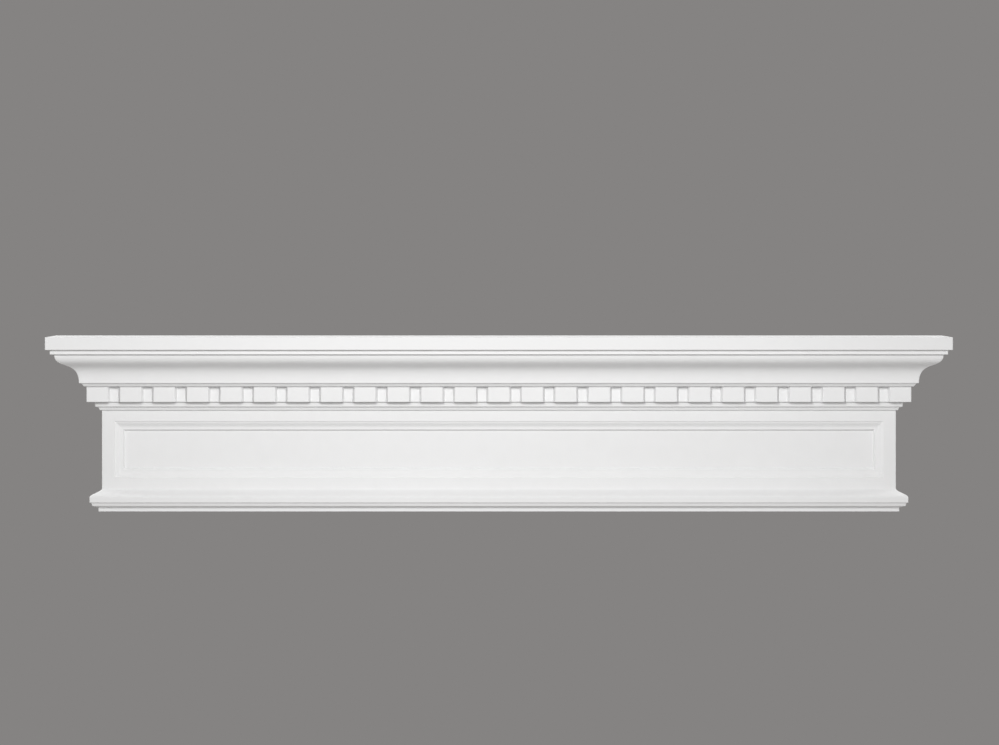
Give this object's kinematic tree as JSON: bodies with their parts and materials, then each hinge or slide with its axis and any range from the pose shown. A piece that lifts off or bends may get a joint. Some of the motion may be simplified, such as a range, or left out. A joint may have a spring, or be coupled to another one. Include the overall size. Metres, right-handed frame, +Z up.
{
  "type": "overdoor entablature",
  "caption": "Classical overdoor moulding with a dentil cornice, a sunk frieze panel and mitred ends that return to the wall.",
  "frame": {"origin": "middle of the flat back, where the piece meets the wall", "axes": "+X along the piece to the right as it is seen from the front, +Y into the wall, +Z up; the carved front faces -Y"},
  "size_m": [1.275, 0.092, 0.25],
  "materials": {
    "white_primer": "smooth factory-primed rigid foam, soft satin white"
  },
  "bodies": {
    "root": {"overdoor_entablature": "white_primer"}
  },
  "joints": []
}
